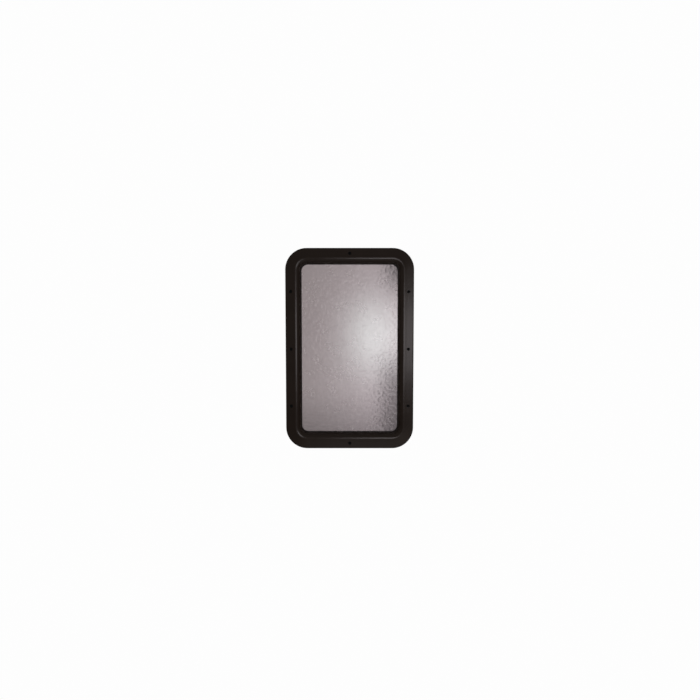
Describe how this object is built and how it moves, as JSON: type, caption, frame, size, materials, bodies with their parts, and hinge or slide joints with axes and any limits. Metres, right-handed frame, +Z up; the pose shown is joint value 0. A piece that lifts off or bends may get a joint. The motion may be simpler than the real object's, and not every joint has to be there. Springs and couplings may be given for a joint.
{
  "type": "caravan door window",
  "caption": "Upright rounded window for a caravan door: two dark moulded rings clamp the door panel and hold a pane of grey obscure glass, with screws sunk in the inner ring.",
  "frame": {"origin": "centre of the window, in the plane where the inner ring's flange meets the door's inside skin", "axes": "+X to the right seen from inside the caravan, +Y through the door to the outside, +Z up"},
  "size_m": [0.324, 0.0493, 0.508],
  "materials": {
    "black_plastic": "dark brown-black moulded plastic, satin to gloss, with a fine grain",
    "obscure_glass": "grey obscure glass with a fine pebbled face",
    "bead_rubber": "matt black rubber",
    "sealing_tape": "soft dull black butyl tape",
    "screw_steel": "black-coated steel"
  },
  "bodies": {
    "root": {"inner_ring": "black_plastic", "outer_frame": "black_plastic", "glass_pane": "obscure_glass", "glass_bead": "bead_rubber", "glazing_tape": "sealing_tape", "flange_seal": "sealing_tape", "setting_block_left": "bead_rubber", "setting_block_right": "bead_rubber", "screw_top": "screw_steel", "screw_bottom": "screw_steel", "screw_left_upper": "screw_steel", "screw_left_middle": "screw_steel", "screw_left_lower": "screw_steel", "screw_right_upper": "screw_steel", "screw_right_middle": "screw_steel", "screw_right_lower": "screw_steel"}
  },
  "joints": []
}
